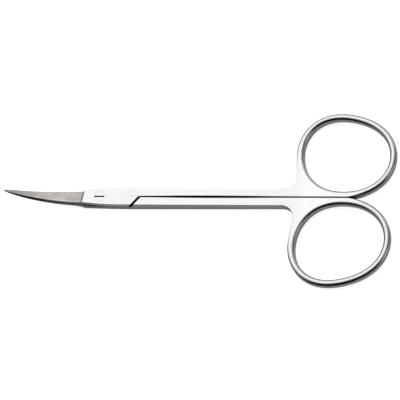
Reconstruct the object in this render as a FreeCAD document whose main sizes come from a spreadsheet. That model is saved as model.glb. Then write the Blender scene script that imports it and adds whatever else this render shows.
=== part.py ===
import FreeCAD
import Part
import math
import os

from FreeCAD import Vector

os.makedirs("parts", exist_ok=True)
doc = FreeCAD.newDocument("dissecting_scissors")

# Driving dimensions, in millimetres and degrees. Lengths along the scissors are measured from the
# pivot: the rings lie toward +X and the blades toward -X. Heights are measured from the parting
# plane, where the two halves meet.
sizes = doc.addObject("Spreadsheet::Sheet", "sizes")
driving = [
    # Lap joint around the pivot
    ("joint_thickness", 3.4),
    ("face_clearance", 0.03),
    ("root_half_width", 2.6),
    ("joint_middle_x", 2.0),
    ("edge_side_middle", 2.51),
    ("spine_side_middle", 2.49),
    ("front_shoulder_x", 4.98),
    ("rear_shoulder_x", 5.35),
    ("shoulder_slant", 3.0),
    ("shoulder_edge_side", 2.33),
    ("shoulder_spine_side", 1.86),
    ("parting_break", 0.15),
    # Oblique slot where each plate ends in front of the other half's shank
    ("lap_x", 12.46),
    ("lap_angle", 38.7),
    ("lap_gap", 0.85),
    ("lap_slope", 30.0),
    ("lap_corner", 1.0),
    # Shanks
    ("shank_gap_at_lap", 0.28),
    ("shank_gap", 0.46),
    ("shank_gap_x", 21.0),
    ("shank_gap_at_neck", 0.32),
    ("shank_end_x", 55.0),
    ("shank_end_half_width", 2.57),
    ("shank_round", 0.12),
    ("shank_inner_round", 0.1),
    ("neck_radius", 3.5),
    ("neck_angle", 181.0),
    # Finger rings
    ("ring_x", 71.51),
    ("ring_radius", 12.63),
    ("ring_stretch", 0.75),
    ("ring_turn", -18.4),
    ("ring_egg", 0.24),
    ("ring_egg_turn", 3.6),
    ("ring_square", 0.1),
    ("ring_bar", 1.94),
    ("ring_neck_swell", 0.13),
    ("ring_end_thickness", 2.36),
    ("ring_round", 0.82),
    ("ring_neck_round", 0.4),
    ("ring_gap", 0.08),
    # Blades
    ("blade_reach", 28.3),
    ("curve_start", 8.0),
    ("curve_radius", 36.8),
    ("front_cove_length", 1.1),
    ("rear_cove_length", 6.0),
    ("shoulder_step", 0.2),
    ("spine_land", 0.3),
    ("spine_break", 0.12),
    ("tip_thickness", 0.62),
    ("tip_half_width", 0.28),
    ("hone_width", 0.16),
    ("hone_height", 0.22),
    ("edge_land", 0.04),
    # Pivot screw
    ("screw_head", 3.1),
    ("screw_head_rim", 0.15),
    ("screw_diameter", 2.0),
    ("screw_clearance", 0.03),
    ("thread_clearance", 0.01),
    ("screw_slot_width", 0.45),
    ("screw_slot_depth", 0.5),
]
for row, (alias, value) in enumerate(driving, start=1):
    sizes.set(f"A{row}", alias)
    sizes.set(f"B{row}", str(value))
    sizes.setAlias(f"B{row}", alias)
doc.recompute()


def size(alias):
    return float(sizes.get(alias))


def bind(item, **expressions):
    for name, expression in expressions.items():
        item.setExpression(name.replace("__", "."), expression)
    return item


def shape_object(name, shape):
    item = doc.addObject("Part::Feature", name)
    item.Shape = shape
    return item


# Values that several pieces share. Solids that are joined or cut run past each other by the overrun.
overrun = 0.5
half_joint = size("joint_thickness") / 2
half_end = size("ring_end_thickness") / 2
half_clearance = size("face_clearance") / 2
slant = math.tan(math.radians(size("shoulder_slant")))
slope = math.tan(math.radians(size("lap_slope")))
lap_run = math.tan(math.radians(size("lap_angle")))
# The joint plate ends and the shank begins just in front of the oblique slot
root_x = size("lap_x") - lap_run * size("root_half_width") - slope * half_joint - overrun / 2
plate_end = size("lap_x") + overrun
lap_half_gap = size("shank_gap_at_lap") / 2
wide = 2 * size("root_half_width")


# Point on the slanted line where a plate ends and its blade begins
def shoulder_point(shoulder, y):
    return Vector(slant * y - shoulder, y, 0)


# Finger ring outline: a slightly egg-shaped oval, given as a radius around the ring's centre
def ring_radius(angle):
    return (
        size("ring_radius")
        + size("ring_stretch") * math.cos(2 * (angle - math.radians(size("ring_turn"))))
        + size("ring_egg") * math.cos(3 * (angle - math.radians(size("ring_egg_turn"))))
        - size("ring_square") * math.cos(4 * angle)
    )


def ring_tangent(degrees):
    angle = math.radians(degrees)
    step = 1e-4
    before = Vector(math.cos(angle - step), math.sin(angle - step), 0) * ring_radius(angle - step)
    after = Vector(math.cos(angle + step), math.sin(angle + step), 0) * ring_radius(angle + step)
    return (after - before).normalize()


def ring_point(degrees, offset, center_y=0.0):
    angle = math.radians(degrees)
    radius = ring_radius(angle)
    tangent = ring_tangent(degrees)
    outward = Vector(tangent.y, -tangent.x, 0)
    point = Vector(math.cos(angle), math.sin(angle), 0) * radius + outward * offset
    return point + Vector(size("ring_x"), center_y, 0)


# The two rings rest against each other when the scissors are closed, so the ring's own lowest
# point sets how far its centre lies from the middle line.
bar_half = size("ring_bar") / 2
touch_angle = min(range(-1200, -600), key=lambda tenth: ring_point(tenth / 10, bar_half).y) / 10
ring_y = size("ring_gap") / 2 - ring_point(touch_angle, bar_half).y
# The ring's section changes within these turns, in degrees, of the touching point and of the neck
touch_turn = 35
neck_turn = 45


# Half-width of a shank's outer side at a distance from the pivot
def outer_line(x):
    share = (x - root_x) / (size("shank_end_x") - root_x)
    return size("root_half_width") + share * (size("shank_end_half_width") - size("root_half_width"))


def spline(points, start, end):
    curve = Part.BSplineCurve()
    curve.interpolate(Points=points, InitialTangent=start, FinalTangent=end, Scale=False)
    return curve.toShape()


# Smooth stretch of a ring's outline between two angles. The bar may swell toward its last angle.
def ring_arc(first, last, offset, swell=0.0):
    turn_per_point = 13
    steps = math.ceil(abs(last - first) / turn_per_point)
    points = []
    for step in range(steps + 1):
        run = step / steps
        grown = offset + swell * (1 - math.cos(math.pi * run)) / 2
        points.append(ring_point(first + (last - first) * run, grown, ring_y))
    return spline(points, ring_tangent(first), ring_tangent(last))


def arc(first, middle, last):
    return Part.Arc(first, middle, last).toShape()


def line(first, last):
    return Part.makeLine(first, last)


# Start, middle and end of the arc that rounds the corner between two directions
def corner_arc(corner, arriving, leaving, radius):
    opening = math.acos((arriving * -1).dot(leaving))
    reach = radius / math.tan(opening / 2)
    bisector = (leaving - arriving).normalize()
    center = corner + bisector * (radius / math.sin(opening / 2))
    return corner - arriving * reach, center - bisector * radius, corner + leaving * reach


# Plan outline of a handle: shank, neck and finger ring
def handle_outline():
    root = Vector(root_x, size("root_half_width"), 0)
    inner_root = Vector(root_x, lap_half_gap, 0)
    inner_lap = Vector(plate_end, lap_half_gap, 0)
    inner_middle = Vector(size("shank_gap_x"), size("shank_gap") / 2, 0)
    inner_neck = Vector(size("shank_end_x"), size("shank_gap_at_neck") / 2, 0)
    touch = ring_point(touch_angle, bar_half, ring_y)
    toward_ring = Vector(1, 0, 0)
    inner = spline([inner_lap, inner_middle, inner_neck, touch], toward_ring, ring_tangent(touch_angle))
    neck_angle = size("neck_angle")
    neck_half = bar_half + size("ring_neck_swell")
    # The ring's tangent runs down to the shank and turns into it with a radius
    start = ring_point(neck_angle, neck_half, ring_y)
    down = ring_tangent(neck_angle)
    back = Vector(root_x - size("shank_end_x"), root.y - size("shank_end_half_width"), 0).normalize()
    fall = (outer_line(start.x) - start.y) / (down.y - down.x * back.y / back.x)
    corner = start + down * fall
    neck_start, neck_middle, neck_end = corner_arc(corner, down, back, size("neck_radius"))
    edges = [
        line(root, inner_root),
        line(inner_root, inner_lap),
        inner,
        ring_arc(touch_angle, touch_angle + touch_turn, bar_half),
        ring_arc(touch_angle + touch_turn, neck_angle - neck_turn, bar_half),
        ring_arc(neck_angle - neck_turn, neck_angle, bar_half, size("ring_neck_swell")),
        line(start, neck_start),
        arc(neck_start, neck_middle, neck_end),
        line(neck_end, root),
    ]
    hole = [ring_arc(0, 180, -bar_half), ring_arc(180, 360, -bar_half)]
    return Part.makeFace([Part.Wire(edges), Part.Wire(hole)], "Part::FaceMakerBullseye")


# Side profile of a handle: it thins evenly from the joint to the ring's far end
def handle_profile():
    end_x = ring_point(0, bar_half).x + overrun
    corners = [
        Vector(root_x, 0, half_joint),
        Vector(end_x, 0, half_end),
        Vector(end_x, 0, -half_end),
        Vector(root_x, 0, -half_joint),
    ]
    return Part.Face(Part.makePolygon(corners + corners[:1]))


# Plan outline of a joint plate, from the blade's shoulder to the slot in front of the other shank
def plate_outline(shoulder):
    edge_corner = shoulder_point(shoulder, size("shoulder_edge_side"))
    spine_corner = shoulder_point(shoulder, -size("shoulder_spine_side"))
    edge_middle = Vector(size("joint_middle_x"), size("edge_side_middle"), 0)
    spine_middle = Vector(size("joint_middle_x"), -size("spine_side_middle"), 0)
    root = Vector(root_x, size("root_half_width"), 0)
    root_below = Vector(root_x, -root.y, 0)
    edges = [
        line(edge_corner, spine_corner),
        arc(spine_corner, spine_middle, root_below),
        line(root_below, Vector(plate_end, -outer_line(plate_end), 0)),
        line(Vector(plate_end, -outer_line(plate_end), 0), Vector(plate_end, lap_half_gap, 0)),
        line(Vector(plate_end, lap_half_gap, 0), Vector(root_x, lap_half_gap, 0)),
        line(Vector(root_x, lap_half_gap, 0), root),
        arc(root, edge_middle, edge_corner),
    ]
    return Part.Face(Part.Wire(edges))


# Edge of the oblique slot in plan: the slot leans toward the blades away from the middle line
def slot_x(y, side):
    half_width = size("lap_gap") / 2 / math.cos(math.radians(size("lap_angle")))
    return size("lap_x") - lap_run * abs(y) + side * half_width


# Where a plate must end: everything beyond the slot and below the inner line of its own shank
def plate_end_outline():
    corner = Vector(slot_x(0, -1) + lap_run * lap_half_gap, lap_half_gap, 0)
    far = Vector(plate_end + wide, lap_half_gap, 0)
    low = Vector(slot_x(wide, -1), -wide, 0)
    low_far = Vector(far.x, -wide, 0)
    before, middle, after = corner_arc(
        corner, (corner - low).normalize(), Vector(1, 0, 0), size("lap_corner")
    )
    edges = [
        line(low, before),
        arc(before, middle, after),
        line(after, far),
        line(far, low_far),
        line(low_far, low),
    ]
    return Part.Face(Part.Wire(edges))


# Where a shank must end: everything on the blade's side of the slot
def shank_end_outline():
    corners = [
        Vector(slot_x(0, 1) + lap_run * overrun, -overrun, 0),
        Vector(slot_x(wide, 1), wide, 0),
        Vector(root_x - wide, wide, 0),
        Vector(root_x - wide, -overrun, 0),
    ]
    return Part.Face(Part.makePolygon(corners + corners[:1]))


# Height of the parting surface: flat at the joint, then a circular rise toward the blade tips.
# It is a surface of revolution about the pivot, so the curved blades slide on each other.
def parting_height(x, y):
    along = math.hypot(x, y) - size("curve_start")
    if along <= 0:
        return 0.0
    return size("curve_radius") - math.sqrt(size("curve_radius") ** 2 - along**2)


def parting_profile(offset, limit):
    reach = size("blade_reach") + wide
    bend = size("curve_start")
    radius = size("curve_radius")
    middle = (bend + reach) / 2
    points = [
        Vector(x, 0, parting_height(x, 0) + offset)
        for x in (0, bend, middle, reach)
    ]
    edges = [
        line(points[0], points[1]),
        arc(points[1], points[2], points[3]),
        line(points[3], Vector(reach, 0, limit)),
        line(Vector(reach, 0, limit), Vector(0, 0, limit)),
        line(Vector(0, 0, limit), points[0]),
    ]
    return Part.Face(Part.Wire(edges))


# A blade's edge side stays full and falls away late, and its spine runs nearly straight to the tip.
# The narrow faces along its edges take at most these shares of the room that they have.
edge_delay, edge_fall = 1.5, 0.8
spine_fall = 0.82
slant_fall = 4
land_share, chamfer_share, hone_share = 0.4, 0.4, 0.3


# Cross-section of a blade at a share of its length from the shoulder to the tip. The side is 1 for
# the front blade and -1 for the rear one. Rise is how far the bevel has run out into the plate.
def blade_section(shoulder, share, side, rise=0.0):
    tip_half = size("tip_half_width")
    edge = tip_half + (size("shoulder_edge_side") - tip_half) * (1 - share**edge_delay) ** edge_fall
    spine = tip_half + (size("shoulder_spine_side") - tip_half) * (1 - share) ** spine_fall
    stepped = half_joint - size("shoulder_step") * (1 - rise)
    full = stepped + share * (size("tip_thickness") - stepped)
    land = min(size("spine_land"), land_share * spine)
    chamfer = min(size("spine_break"), chamfer_share * land)
    hone = min(size("hone_width"), hone_share * edge)
    lean = slant * (1 - share) ** slant_fall
    x = -shoulder - share * (size("blade_reach") - shoulder)
    hone_height = size("hone_height") + rise * (full - size("hone_height"))
    edge_height = size("edge_land") + rise * (full - size("spine_break") - size("edge_land"))
    corners = [
        (-spine, -half_joint),
        (-spine, full - chamfer),
        (chamfer - spine, full),
        (land - spine, full),
        (edge - hone, hone_height),
        (edge, edge_height),
        (edge, -half_joint),
    ]
    points = []
    for y, height in corners:
        place = x + lean * y
        points.append(Vector(place, side * y, parting_height(place, y) + side * height))
    return Part.makePolygon(points + points[:1])


def extrusion(name, base, direction, length, symmetric=False):
    item = doc.addObject("Part::Extrusion", name)
    item.Base = base
    item.DirMode = "Custom"
    item.Dir = direction
    item.Symmetric = symmetric
    item.Solid = True
    return bind(item, LengthFwd=length)


def boolean(kind, name, base, tool):
    item = doc.addObject(kind, name)
    item.Base = base
    item.Tool = tool
    return item


# Numbers and ends of the edges between a part's front face and its upright walls
def rim_edges(shape, is_wanted):
    found = []
    for number, edge in enumerate(shape.Edges, start=1):
        first, last = edge.FirstParameter, edge.LastParameter
        middle = edge.valueAt((first + last) / 2)
        slopes = []
        for face in shape.ancestorsOfType(edge, Part.Face):
            u, v = face.Surface.parameter(middle)
            slopes.append(abs(face.normalAt(u, v).z))
        on_front = max(slopes) > 0.9 and min(slopes) < 0.1 and middle.z > overrun
        if on_front and is_wanted(middle):
            found.append((number, edge.valueAt(first), edge.valueAt(last)))
    return found


def rounded(name, base, rounding, is_wanted):
    doc.recompute()
    item = doc.addObject("Part::Fillet", name)
    item.Base = base
    found = rim_edges(base.Shape, is_wanted)
    item.Edges = [(number, rounding(first), rounding(last)) for number, first, last in found]
    return item


# Edge rounding of a handle: a broken edge along the shank, nearly full around the ring
def handle_rounding(point):
    neck_x = size("shank_end_x")
    if point.y < outer_line(point.x) / 2 and point.x < size("ring_x") + overrun:
        return size("shank_inner_round")
    if point.x < neck_x + size("neck_radius") / 2:
        return size("shank_round")
    if point.x < size("ring_x") - size("ring_radius"):
        return size("ring_neck_round")
    return size("ring_round")


# Edge rounding of a plate: it fades from the shank's to the blade's sharp corner
def plate_rounding(point):
    share = (root_x - point.x) / (root_x + size("front_shoulder_x"))
    return size("shank_round") + min(1.0, max(0.0, share)) * (size("spine_break") - size("shank_round"))


# Handle: its front half is rounded, mirrored about the parting plane and joined
outline = shape_object("handle_outline", handle_outline())
blank = extrusion("handle_blank", outline, Vector(0, 0, 1), "sizes.joint_thickness")
taper = extrusion(
    "handle_taper",
    shape_object("handle_profile", handle_profile()),
    Vector(0, 1, 0),
    "8 * sizes.ring_radius",
    symmetric=True,
)
flat_front = boolean("Part::Common", "handle_flat", blank, taper)
handle_front = rounded(
    "handle_front", flat_front, handle_rounding, lambda middle: middle.x > root_x + overrun / 10
)
handle_rear = doc.addObject("Part::Mirroring", "handle_rear")
handle_rear.Source = handle_front
handle_rear.Normal = Vector(0, 0, 1)
handle = boolean("Part::Fuse", "handle", handle_front, handle_rear)
handle.Refine = True

# Cutters of the oblique slot. They lean along the blade as they go in from the front face (side 1)
# or from the rear face (side -1), and the outline holds at that face.
def leaning_cutter(name, face, side, depth):
    lean = Vector(-slope, 0, -side)
    face.Placement.Base = Vector(0, 0, side * half_joint) - lean * overrun
    base = shape_object(f"{name}_outline", face)
    return extrusion(name, base, lean, f"({depth} + {overrun}) / cos(sizes.lap_slope)")


plate_cutter = leaning_cutter("plate_cutter", plate_end_outline(), 1, "sizes.joint_thickness")
shank_cutter = leaning_cutter(
    "shank_cutter", shank_end_outline(), -1, "(sizes.joint_thickness + sizes.face_clearance) / 2"
)
cut_handle = boolean("Part::Cut", "cut_handle", handle, shank_cutter)


# Joint plate of one half, cut off along the slot
def joint_plate(name, shoulder):
    base = plate_outline(shoulder)
    base.Placement.Base = Vector(0, 0, half_clearance)
    blank = extrusion(
        f"{name}_blank",
        shape_object(f"{name}_outline", base),
        Vector(0, 0, 1),
        "(sizes.joint_thickness - sizes.face_clearance) / 2",
    )
    plate = rounded(
        f"{name}_rounded",
        blank,
        plate_rounding,
        lambda middle: abs(middle.y) > half_joint and overrun - shoulder < middle.x < plate_end,
    )
    doc.recompute()
    # Where the halves meet, the long sides of the plate have a broken edge
    broken = doc.addObject("Part::Chamfer", f"{name}_broken")
    broken.Base = plate
    found = []
    for number, edge in enumerate(plate.Shape.Edges, start=1):
        middle = edge.valueAt((edge.FirstParameter + edge.LastParameter) / 2)
        if abs(middle.y) > half_joint and middle.z < 2 * half_clearance:
            found.append((number, size("parting_break"), size("parting_break")))
    broken.Edges = found
    return boolean("Part::Cut", name, broken, plate_cutter)


front_plate = joint_plate("front_plate", size("front_shoulder_x"))
rear_plate = joint_plate("rear_plate", size("rear_shoulder_x"))


# Blades: a cove behind the shoulder, then the long tapering bevel. These powers say how steeply the
# coves fall away from the shoulder: the front one is short, and the rear one runs out slowly.
front_cove_fall = 1.6
rear_cove_fall = 5


def blade(name, side, shoulder, cove_length, cove_fall):
    cove_share = cove_length / (size("blade_reach") - shoulder)
    cove_steps = 6
    cove = []
    for step in range(cove_steps + 1):
        run = step / cove_steps
        section = blade_section(shoulder, cove_share * run, side, (1 - run) ** cove_fall)
        cove.append(shape_object(f"{name}_cove_{step}", section))
    bevel_steps = 8
    bevel = cove[-1:]
    for step in range(1, bevel_steps + 1):
        share = cove_share + (1 - cove_share) * step / bevel_steps
        bevel.append(shape_object(f"{name}_section_{step}", blade_section(shoulder, share, side)))
    pieces = []
    for label, sections in (("cove_solid", cove), ("bevel_solid", bevel)):
        loft = doc.addObject("Part::Loft", f"{name}_{label}")
        loft.Sections = sections
        loft.Solid = True
        loft.Ruled = False
        pieces.append(loft)
    whole = boolean("Part::Fuse", f"{name}_blank", pieces[0], pieces[1])
    # The other half's room is cut away, down or up to a height well past the blade
    limit = -2 * half_joint if side > 0 else parting_height(size("blade_reach") + wide, 0) + half_joint
    parting = doc.addObject("Part::Revolution", f"{name}_parting")
    profile = parting_profile(side * half_clearance, limit)
    parting.Source = shape_object(f"{name}_parting_profile", profile)
    parting.Axis = Vector(0, 0, 1)
    parting.Angle = 360
    parting.Solid = True
    return boolean("Part::Cut", name, whole, parting)


front_blade = blade(
    "front_blade", 1, size("front_shoulder_x"), size("front_cove_length"), front_cove_fall
)
rear_blade = blade("rear_blade", -1, size("rear_shoulder_x"), size("rear_cove_length"), rear_cove_fall)


def cylinder(name, radius, bottom, top):
    item = doc.addObject("Part::Cylinder", name)
    return bind(item, Radius=radius, Height=f"{top} - ({bottom})", Placement__Base__z=bottom)


def cone(name, radius_below, radius_above, bottom, height):
    item = doc.addObject("Part::Cone", name)
    return bind(
        item, Radius1=radius_below, Radius2=radius_above, Height=height, Placement__Base__z=bottom
    )


def fused(name, shapes):
    item = doc.addObject("Part::MultiFuse", name)
    item.Shapes = shapes
    return item


# Screw and the holes around it, from the same values: head rim, countersink, then the plain part
front_face = "sizes.joint_thickness / 2"
head_bottom = f"{front_face} - sizes.screw_head_rim"
sink_height = "(sizes.screw_head - sizes.screw_diameter) / 2"
sink_bottom = f"{head_bottom} - {sink_height}"


def screw_form(name, clearance, bottom, top):
    radius = f"sizes.screw_diameter / 2 + {clearance}"
    head_radius = f"sizes.screw_head / 2 + {clearance}"
    return fused(
        name,
        [
            cylinder(f"{name}_shank", radius, bottom, sink_bottom),
            cone(f"{name}_sink", radius, head_radius, sink_bottom, sink_height),
            cylinder(f"{name}_rim", head_radius, head_bottom, top),
        ],
    )


screw_blank = screw_form("screw_blank", "0", f"-{front_face}", front_face)
slot = doc.addObject("Part::Box", "screw_slot")
bind(
    slot,
    Length="2 * sizes.screw_head",
    Width="sizes.screw_slot_width",
    Height="2 * sizes.screw_slot_depth",
    Placement__Base__x="-sizes.screw_head",
    Placement__Base__y="-sizes.screw_slot_width / 2",
    Placement__Base__z=f"{front_face} - sizes.screw_slot_depth",
)
pivot_screw = boolean("Part::Cut", "pivot_screw", screw_blank, slot)

screw_hole = screw_form("screw_hole", "sizes.screw_clearance", f"-{front_face}", "sizes.joint_thickness")
thread_hole = cylinder(
    "thread_hole",
    "sizes.screw_diameter / 2 + sizes.thread_clearance",
    "-sizes.joint_thickness",
    "sizes.joint_thickness",
)

# Halves: the handle is the same for both, and the rear half is turned over about the long axis
front_blank = fused("front_blank", [front_plate, cut_handle, front_blade])
front_half = boolean("Part::Cut", "front_half", front_blank, screw_hole)
turned = fused("turned_frame", [rear_plate, cut_handle])
turned.Placement = FreeCAD.Placement(Vector(0, 0, 0), FreeCAD.Rotation(Vector(1, 0, 0), 180))
rear_blank = fused("rear_blank", [turned, rear_blade])
rear_half = boolean("Part::Cut", "rear_half", rear_blank, thread_hole)

# The scissors lie on a table: its surface is z = 0, and the pivot's axis is x = y = 0
pieces = [front_half, rear_half, pivot_screw]
for item in pieces:
    item.Label = item.Name
    bind(item, Placement__Base__z="sizes.joint_thickness / 2")
doc.recompute()

for item in doc.Objects:
    if "Invalid" in item.State or "Error" in item.State:
        raise RuntimeError(f"{item.Name} failed: {item.State}")
for item in pieces:
    if item.Shape.isNull() or not item.Shape.isValid():
        raise RuntimeError(f"{item.Label} has no valid shape")
    print(item.Label, "solids:", len(item.Shape.Solids), "volume:", round(item.Shape.Volume, 2))
    item.Shape.exportStep(f"parts/{item.Label}.step")
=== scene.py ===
# Curved dissecting scissors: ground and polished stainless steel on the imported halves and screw,
# on a white table in a light tent.
import math

import bpy
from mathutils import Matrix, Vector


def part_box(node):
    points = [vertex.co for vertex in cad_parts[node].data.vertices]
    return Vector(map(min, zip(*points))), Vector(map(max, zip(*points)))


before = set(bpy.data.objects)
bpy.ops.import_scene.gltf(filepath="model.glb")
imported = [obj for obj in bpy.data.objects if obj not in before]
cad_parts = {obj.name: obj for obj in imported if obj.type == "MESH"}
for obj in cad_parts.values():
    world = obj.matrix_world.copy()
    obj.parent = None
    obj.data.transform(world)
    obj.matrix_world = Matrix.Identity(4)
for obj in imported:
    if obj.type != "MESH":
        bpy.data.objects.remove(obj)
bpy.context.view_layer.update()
bpy.ops.object.select_all(action="DESELECT")
print("frame loaded:", ", ".join(sorted(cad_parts)))

millimetre = 0.001
white = (1.0, 1.0, 1.0)


def addNode(tree, kind, inputs=None, **settings):
    # an input is a number, a vector or another node's socket
    node = tree.nodes.new(kind)
    for name, value in settings.items():
        setattr(node, name, value)
    for name, value in (inputs or {}).items():
        if isinstance(value, bpy.types.NodeSocket):
            tree.links.new(value, node.inputs[name])
        else:
            node.inputs[name].default_value = value
    return node


def calc(tree, operation, *values):
    return addNode(tree, "ShaderNodeMath", dict(enumerate(values)), operation=operation).outputs[0]


def ramp(tree, value, span, start=0.0, end=1.0):
    # start below the span, end above it, and a soft step between them
    inputs = {"Value": value, "From Min": span[0], "From Max": span[1], "To Min": start, "To Max": end}
    return addNode(tree, "ShaderNodeMapRange", inputs, interpolation_type="SMOOTHSTEP").outputs["Result"]


def lengthRamp(tree, value, span, start=0.0, end=1.0):
    # the same with the span in mm
    return ramp(tree, value, [length * millimetre for length in span], start, end)


def blend(tree, share, first, second):
    # from first to second as share goes from 0 to 1, for numbers
    return calc(tree, "MULTIPLY_ADD", share, calc(tree, "SUBTRACT", second, first), first)


def sway(tree, pattern, amount, base):
    # base plus a pattern that swings around its middle value of 0.5
    return calc(tree, "MULTIPLY_ADD", calc(tree, "SUBTRACT", pattern, 0.5), amount, base)


def times(tree, *values):
    product = values[0]
    for value in values[1:]:
        product = calc(tree, "MULTIPLY", product, value)
    return product


def colourMix(tree, share, first, second):
    # a colour is three numbers or a socket
    mix = addNode(tree, "ShaderNodeMix", {"Factor": share}, data_type="RGBA")
    for socket, colour in (("A", first), ("B", second)):
        if isinstance(colour, tuple):
            mix.inputs[socket].default_value = (*colour, 1)
        else:
            tree.links.new(colour, mix.inputs[socket])
    return mix.outputs["Result"]


def noise(tree, place, scale, detail, roughness=0.5):
    inputs = {"Vector": place, "Scale": scale, "Detail": detail, "Roughness": roughness}
    return addNode(tree, "ShaderNodeTexNoise", inputs).outputs["Fac"]


def streaks(tree, place, length, width, turn, seed):
    # a noise drawn out along one way, as a belt or a wheel leaves it; length and width in mm
    across = 1 / (width * millimetre)
    turned = addNode(tree, "ShaderNodeMapping", {"Vector": place, "Rotation": (0, 0, math.radians(turn))})
    drawn = addNode(tree, "ShaderNodeMapping", {
        "Vector": turned.outputs[0], "Scale": (1 / (length * millimetre), across, across),
        "Location": (seed, seed * 2.0, 0)})
    return noise(tree, drawn.outputs[0], 1.0, 3.0, 0.6)


def clouds(tree, place, size, detail):
    # soft patches, size in mm
    return noise(tree, place, 1 / (size * millimetre), detail, 0.55)


def newMaterial(name):
    material = bpy.data.materials.new(name)
    material.use_nodes = True
    material.node_tree.nodes.clear()
    return material, material.node_tree


def finishSteel(tree, colour, roughness, height, strength):
    # height is in mm
    bump = addNode(tree, "ShaderNodeBump", {"Strength": strength, "Distance": millimetre, "Height": height})
    shader = addNode(tree, "ShaderNodeBsdfPrincipled", {
        "Base Color": colour, "Metallic": 1.0, "Roughness": roughness, "Normal": bump.outputs[0]})
    addNode(tree, "ShaderNodeOutputMaterial", {"Surface": shader.outputs[0]})


# Lengths are in mm and turns in degrees, here and in the screw's values.
forgedSteel = {
    "colour": (0.66, 0.654, 0.648),  # bare stainless
    "darkColour": (0.59, 0.583, 0.575),  # in the grain's troughs
    "ringColour": (0.60, 0.596, 0.588),
    "bevelColour": (0.70, 0.676, 0.652),  # a faint straw tint from grinding
    "bevelDark": (0.545, 0.524, 0.504),
    # painted shade: the near-black colour given to crevices and to the edges along the gap between the
    # shanks
    "paintedShadeColour": (0.03, 0.028, 0.026),
    "satinRoughness": 0.25,
    "bevelRoughness": 0.34,
    "ringRoughness": 0.07,
    "innerRoughness": 0.12,  # where the halves slide on each other
    "troughs": (0.35, 0.62),  # the grain's levels from dark to bright
    "grainLength": 9.0,  # satin grain along the instrument
    "grainWidth": 0.07,
    "grainHeight": 0.0014,
    "grainRoughness": 0.18,  # how far the grain sways the roughness
    "polishedGrain": 0.15,  # share of the grain's height that polishing leaves
    "polishedRoughness": 0.03,
    "groundLength": 2.4,  # lines that the wheel left across the blade
    "groundWidth": 0.06,
    "groundTurn": 84,
    "groundSway": 1.2,
    "patchSize": 2.2,  # cloudy patches on the ground bevel
    "patchDetail": 2.0,
    "patchSway": 2.4,
    "patchShare": 0.6,  # how much of the bevel is bright
    "hairlineLength": 4.0,  # scratches from use
    "hairlineWidth": 0.035,
    "hairlineHeight": 0.001,
    "hairlineRoughness": 0.05,
    "hairlineTurns": (-28, 17),
    "hairlineLevels": (0.64, 0.68),
    "smudgeSize": 4.5,  # fingerprints and dull spots
    "smudgeDetail": 4.0,
    "smudgeRoughness": 0.06,
    "bumpStrength": 0.35,
    "paintedShadeReach": 0.9,  # crevices narrower than this get painted shade
    "paintedShadeLevels": (0.3, 0.9),  # how open a place is, from full painted shade to none
    "paintedShadeSamples": 6,
    "seamPaintedShade": (0.17, 0.30),  # from the middle, painted shade on the edges along the gap between the shanks
    "ringSpan": (58.0, 64.0),  # where the satin runs out into the polished ring
    "bladeSpan": (-3.8, -3.6),  # the bevels lie beyond it
    "innerSpan": (12.5, 12.7),  # the halves slide on each other up to here
    "innerFace": (0.5, 0.7),  # how far such a face looks to the other half
    "levelFace": (0.985, 0.992),  # how far a face looks straight up or down
    "wallFace": (0.4, 0.55),
}


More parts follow.
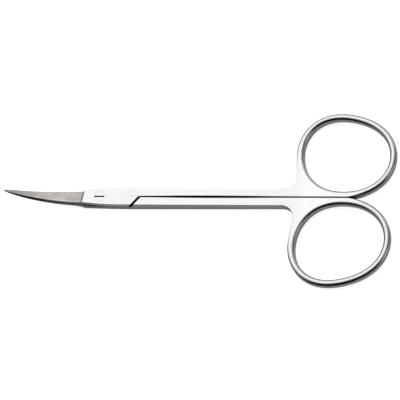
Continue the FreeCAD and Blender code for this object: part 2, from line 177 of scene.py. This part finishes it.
def makeForgedSteel(name, innerSide, seed):
    # innerSide is the way that the faces between the halves look, 1 up or -1 down
    values = forgedSteel
    material, tree = newMaterial(name)
    where = addNode(tree, "ShaderNodeTexCoord")
    place = where.outputs["Object"]
    x, y = addNode(tree, "ShaderNodeSeparateXYZ", {0: place}).outputs[:2]
    lift = addNode(tree, "ShaderNodeSeparateXYZ", {0: where.outputs["Normal"]}).outputs["Z"]
    level = calc(tree, "ABSOLUTE", lift)

    ring = lengthRamp(tree, x, values["ringSpan"])
    beyond = lengthRamp(tree, x, values["bladeSpan"], 1, 0)
    inside = lengthRamp(tree, x, values["innerSpan"], 1, 0)
    inner = times(tree, inside, ramp(tree, times(tree, lift, innerSide), values["innerFace"]))
    # sloping faces beyond the shoulder are the bevel and its cove
    sloping = times(tree, ramp(tree, level, values["levelFace"], 1, 0),
                    ramp(tree, level, values["wallFace"]))
    bevel = times(tree, sloping, beyond, calc(tree, "SUBTRACT", 1.0, inner))
    polish = calc(tree, "MAXIMUM", ring, inner)

    grain = streaks(tree, place, values["grainLength"], values["grainWidth"], 0, seed)
    wheelMarks = streaks(tree, place, values["groundLength"], values["groundWidth"],
                         values["groundTurn"], seed + 5)
    lines = blend(tree, bevel, grain, wheelMarks)
    scratches = 0.0
    for turn in values["hairlineTurns"]:
        hair = streaks(tree, place, values["hairlineLength"], values["hairlineWidth"], turn, seed + turn)
        scratches = calc(tree, "ADD", scratches, ramp(tree, hair, values["hairlineLevels"]))
    smudge = clouds(tree, place, values["smudgeSize"], values["smudgeDetail"])
    patches = clouds(tree, place, values["patchSize"], values["patchDetail"])

    roughness = blend(tree, inner, values["satinRoughness"], values["innerRoughness"])
    roughness = blend(tree, ring, roughness, values["ringRoughness"])
    roughness = blend(tree, bevel, roughness, values["bevelRoughness"])
    grainSway = blend(tree, polish, values["grainRoughness"], values["polishedRoughness"])
    roughness = sway(tree, lines, grainSway, roughness)
    roughness = sway(tree, smudge, values["smudgeRoughness"], roughness)
    roughness = calc(tree, "MULTIPLY_ADD", scratches, values["hairlineRoughness"], roughness)

    polishedHeight = values["polishedGrain"] * values["grainHeight"]
    height = times(tree, lines, blend(tree, polish, values["grainHeight"], polishedHeight))
    height = calc(tree, "MULTIPLY_ADD", scratches, -values["hairlineHeight"], height)

    bright = blend(tree, polish, ramp(tree, lines, values["troughs"]), 1.0)
    colour = colourMix(tree, bright, values["darkColour"], values["colour"])
    cloudy = sway(tree, lines, values["groundSway"], values["patchShare"])
    cloudy = sway(tree, patches, values["patchSway"], cloudy)
    ground = colourMix(tree, cloudy, values["bevelDark"], values["bevelColour"])
    colour = colourMix(tree, bevel, colour, ground)
    colour = colourMix(tree, ring, colour, values["ringColour"])

    # painted shade in the crevices, and on both edges along the gap between the shanks
    crevice = addNode(tree, "ShaderNodeAmbientOcclusion", {"Distance": values["paintedShadeReach"] * millimetre},
                      samples=values["paintedShadeSamples"])
    unshaded = ramp(tree, crevice.outputs["AO"], values["paintedShadeLevels"])
    beside = lengthRamp(tree, calc(tree, "ABSOLUTE", y), values["seamPaintedShade"])
    unshaded = times(tree, unshaded, calc(tree, "MAXIMUM", beside, inside))
    colour = colourMix(tree, unshaded, values["paintedShadeColour"], colour)
    finishSteel(tree, colour, roughness, height, values["bumpStrength"])
    return material


frontHalf = {"name": "frontHalfSteel", "innerSide": -1.0, "seed": 1.0}
rearHalf = {"name": "rearHalfSteel", "innerSide": 1.0, "seed": 14.0}

screwSteel = {
    "colour": (0.65, 0.644, 0.638),
    "darkColour": (0.6, 0.593, 0.585),
    "slotShadeAndSoilColour": (0.16, 0.155, 0.15),  # painted shade in the slot, with some soil
    "roughness": 0.24,
    "slotRoughness": 0.5,
    "troughs": (0.35, 0.62),
    "turningWidth": 0.05,  # between the turning marks on the head
    "turningRise": 0.25,
    "turningHeight": 0.0012,
    "turningRoughness": 0.12,
    "turningDetail": 2.0,
    "smudgeSize": 1.5,
    "smudgeDetail": 3.0,
    "smudgeRoughness": 0.06,
    "bumpStrength": 0.35,
    "slotEdge": (0.226, 0.230),  # from the slot's middle, a hair outside its walls
    "slotTop": (-0.05, -0.02),  # from the head's face
    "slotFloor": (-1.2, -1.1),
}


def makeScrewSteel(name, node):
    values = screwSteel
    material, tree = newMaterial(name)
    place = addNode(tree, "ShaderNodeTexCoord").outputs["Object"]
    x, y, z = addNode(tree, "ShaderNodeSeparateXYZ", {0: place}).outputs
    radius = calc(tree, "SQRT", calc(tree, "ADD", times(tree, x, x), times(tree, y, y)))
    turning = addNode(tree, "ShaderNodeCombineXYZ", {
        "X": calc(tree, "DIVIDE", radius, values["turningWidth"] * millimetre),
        "Y": calc(tree, "DIVIDE", z, values["turningRise"] * millimetre)})
    marks = noise(tree, turning.outputs[0], 1.0, values["turningDetail"])
    smudge = clouds(tree, place, values["smudgeSize"], values["smudgeDetail"])

    depth = calc(tree, "SUBTRACT", z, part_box(node)[1][2])
    slot = times(tree, lengthRamp(tree, depth, values["slotTop"], 1, 0),
                 lengthRamp(tree, calc(tree, "ABSOLUTE", y), values["slotEdge"], 1, 0),
                 lengthRamp(tree, depth, values["slotFloor"]))

    roughness = blend(tree, slot, values["roughness"], values["slotRoughness"])
    roughness = sway(tree, marks, values["turningRoughness"], roughness)
    roughness = sway(tree, smudge, values["smudgeRoughness"], roughness)
    colour = colourMix(tree, ramp(tree, marks, values["troughs"]), values["darkColour"], values["colour"])
    # the slot is painted dark: painted shade, with some soil
    colour = colourMix(tree, slot, colour, values["slotShadeAndSoilColour"])
    height = times(tree, marks, values["turningHeight"])
    finishSteel(tree, colour, roughness, height, values["bumpStrength"])
    return material


finishes = {
    "front_half": makeForgedSteel(**frontHalf),
    "rear_half": makeForgedSteel(**rearHalf),
    "pivot_screw": makeScrewSteel("screwSteel", "pivot_screw"),
}
for node, material in finishes.items():
    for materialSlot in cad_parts[node].material_slots:
        materialSlot.material = material
print("steel finishes given to", len(finishes), "pieces")

tableTop = {
    "size": 3.0,  # metres
    "colour": (0.9, 0.9, 0.9),
    "roughness": 0.8,
    "glow": 0.86,  # lit from below, so that only a faint shadow is left
    # painted shade: the dark that the steel's reflections see on the table near it
    "shadeColour": (0.02, 0.02, 0.02),
    "shadeReach": 2.2,  # mm, how far out from the steel the painted shade on the table reaches
    "shadeDepth": 1.2,
    "shadeSamples": 8,
}


def makeTable():
    values = tableTop
    bpy.ops.mesh.primitive_plane_add(size=values["size"], location=(0, 0, 0))
    table = bpy.context.object
    table.name = "tableTop"
    material, tree = newMaterial("whiteAcrylic")
    acrylic = addNode(tree, "ShaderNodeBsdfPrincipled", {
        "Base Color": (*values["colour"], 1), "Roughness": values["roughness"], "Specular IOR Level": 0.0,
        "Emission Color": (*white, 1), "Emission Strength": values["glow"]})
    # the steel sees the tent's glow in the table, and a painted shade on the table where it stands
    shade = addNode(tree, "ShaderNodeAmbientOcclusion", {"Distance": values["shadeReach"] * millimetre},
                    samples=values["shadeSamples"])
    clear = calc(tree, "POWER", shade.outputs["AO"], values["shadeDepth"])
    dark = addNode(tree, "ShaderNodeBsdfDiffuse", {"Color": (*values["shadeColour"], 1)})
    glow = addNode(tree, "ShaderNodeBsdfTransparent")
    mirrored = addNode(tree, "ShaderNodeMixShader", {"Fac": clear, 1: dark.outputs[0], 2: glow.outputs[0]})
    seen = addNode(tree, "ShaderNodeLightPath").outputs["Is Camera Ray"]
    surface = addNode(tree, "ShaderNodeMixShader", {
        "Fac": seen, 1: mirrored.outputs[0], 2: acrylic.outputs[0]})
    addNode(tree, "ShaderNodeOutputMaterial", {"Surface": surface.outputs[0]})
    table.data.materials.append(material)


makeTable()
print("table made")

lightTent = {
    # each glow: the way it comes from, how tight it is, how bright it is
    "glows": {
        "diffuser": ((-0.310, 0.388, 0.868), 7.0, 1.48),
        "backWall": ((-0.631, 0.757, 0.170), 1.1, 0.15),
        "sideWall": ((0.497, 0.867, 0.0), 2.4, 0.43),
        "rightWall": ((0.95, -0.10, 0.28), 14.0, 0.5),
        "table": ((0.0, -0.5, -0.866), 1.3, 0.36),
    },
    # each dim place: its way, the cosines from it at its rim, what is left of the light in it
    "dimPlaces": {
        "opening": ((0.439, -0.627, 0.643), (0.72, 0.92), 0.01),  # the open front, round the camera
        "room": ((-0.25, -0.93, 0.27), (0.62, 0.86), 0.01),  # beyond the open front
        "door": ((0.80, 0.36, 0.48), (0.92, 0.985), 0.15),  # a gap in the tent's right side
    },
    "dimColour": (1.0, 0.95, 0.925),  # dim light has come off warm walls
}


def makeLightTent():
    values = lightTent
    world = bpy.data.worlds.new("lightTent")
    world.use_nodes = True
    bpy.context.scene.world = world
    tree = world.node_tree
    tree.nodes.clear()
    way = addNode(tree, "ShaderNodeTexCoord").outputs["Generated"]

    def nearness(direction):
        dot = addNode(tree, "ShaderNodeVectorMath", {0: way, 1: direction}, operation="DOT_PRODUCT")
        return dot.outputs["Value"]

    light = 0.0
    for direction, tightness, brightness in values["glows"].values():
        fall = calc(tree, "MULTIPLY_ADD", nearness(direction), tightness, -tightness)
        light = calc(tree, "MULTIPLY_ADD", calc(tree, "EXPONENT", fall), brightness, light)
    for direction, rim, left in values["dimPlaces"].values():
        light = times(tree, light, ramp(tree, nearness(direction), rim, 1.0, left))
    colour = colourMix(tree, light, values["dimColour"], white)
    tent = addNode(tree, "ShaderNodeBackground", {"Color": colour, "Strength": light})
    # the backdrop itself is plain white
    backdrop = addNode(tree, "ShaderNodeBackground", {"Color": (*white, 1), "Strength": 1.0})
    seen = addNode(tree, "ShaderNodeLightPath").outputs["Is Camera Ray"]
    surface = addNode(tree, "ShaderNodeMixShader", {
        "Fac": seen, 1: tent.outputs[0], 2: backdrop.outputs[0]})
    addNode(tree, "ShaderNodeOutputWorld", {"Surface": surface.outputs[0]})


makeLightTent()
bpy.context.scene.view_settings.view_transform = "Standard"
print("light tent made")

cameraPlace = {
    "location": (0.149692, -0.150455, 0.347452),  # metres
    "turn": (24.5081, 16.0459, 7.2748),  # degrees
    "lens": 124.79,  # mm
    "sensor": 36.0,
    "nearest": 0.01,  # metres
}


def addCamera():
    values = cameraPlace
    turn = [math.radians(angle) for angle in values["turn"]]
    bpy.ops.object.camera_add(location=values["location"], rotation=turn)
    camera = bpy.context.object
    camera.data.lens = values["lens"]
    camera.data.sensor_width = values["sensor"]
    camera.data.clip_start = values["nearest"]
    bpy.context.scene.camera = camera


addCamera()
print("camera placed")
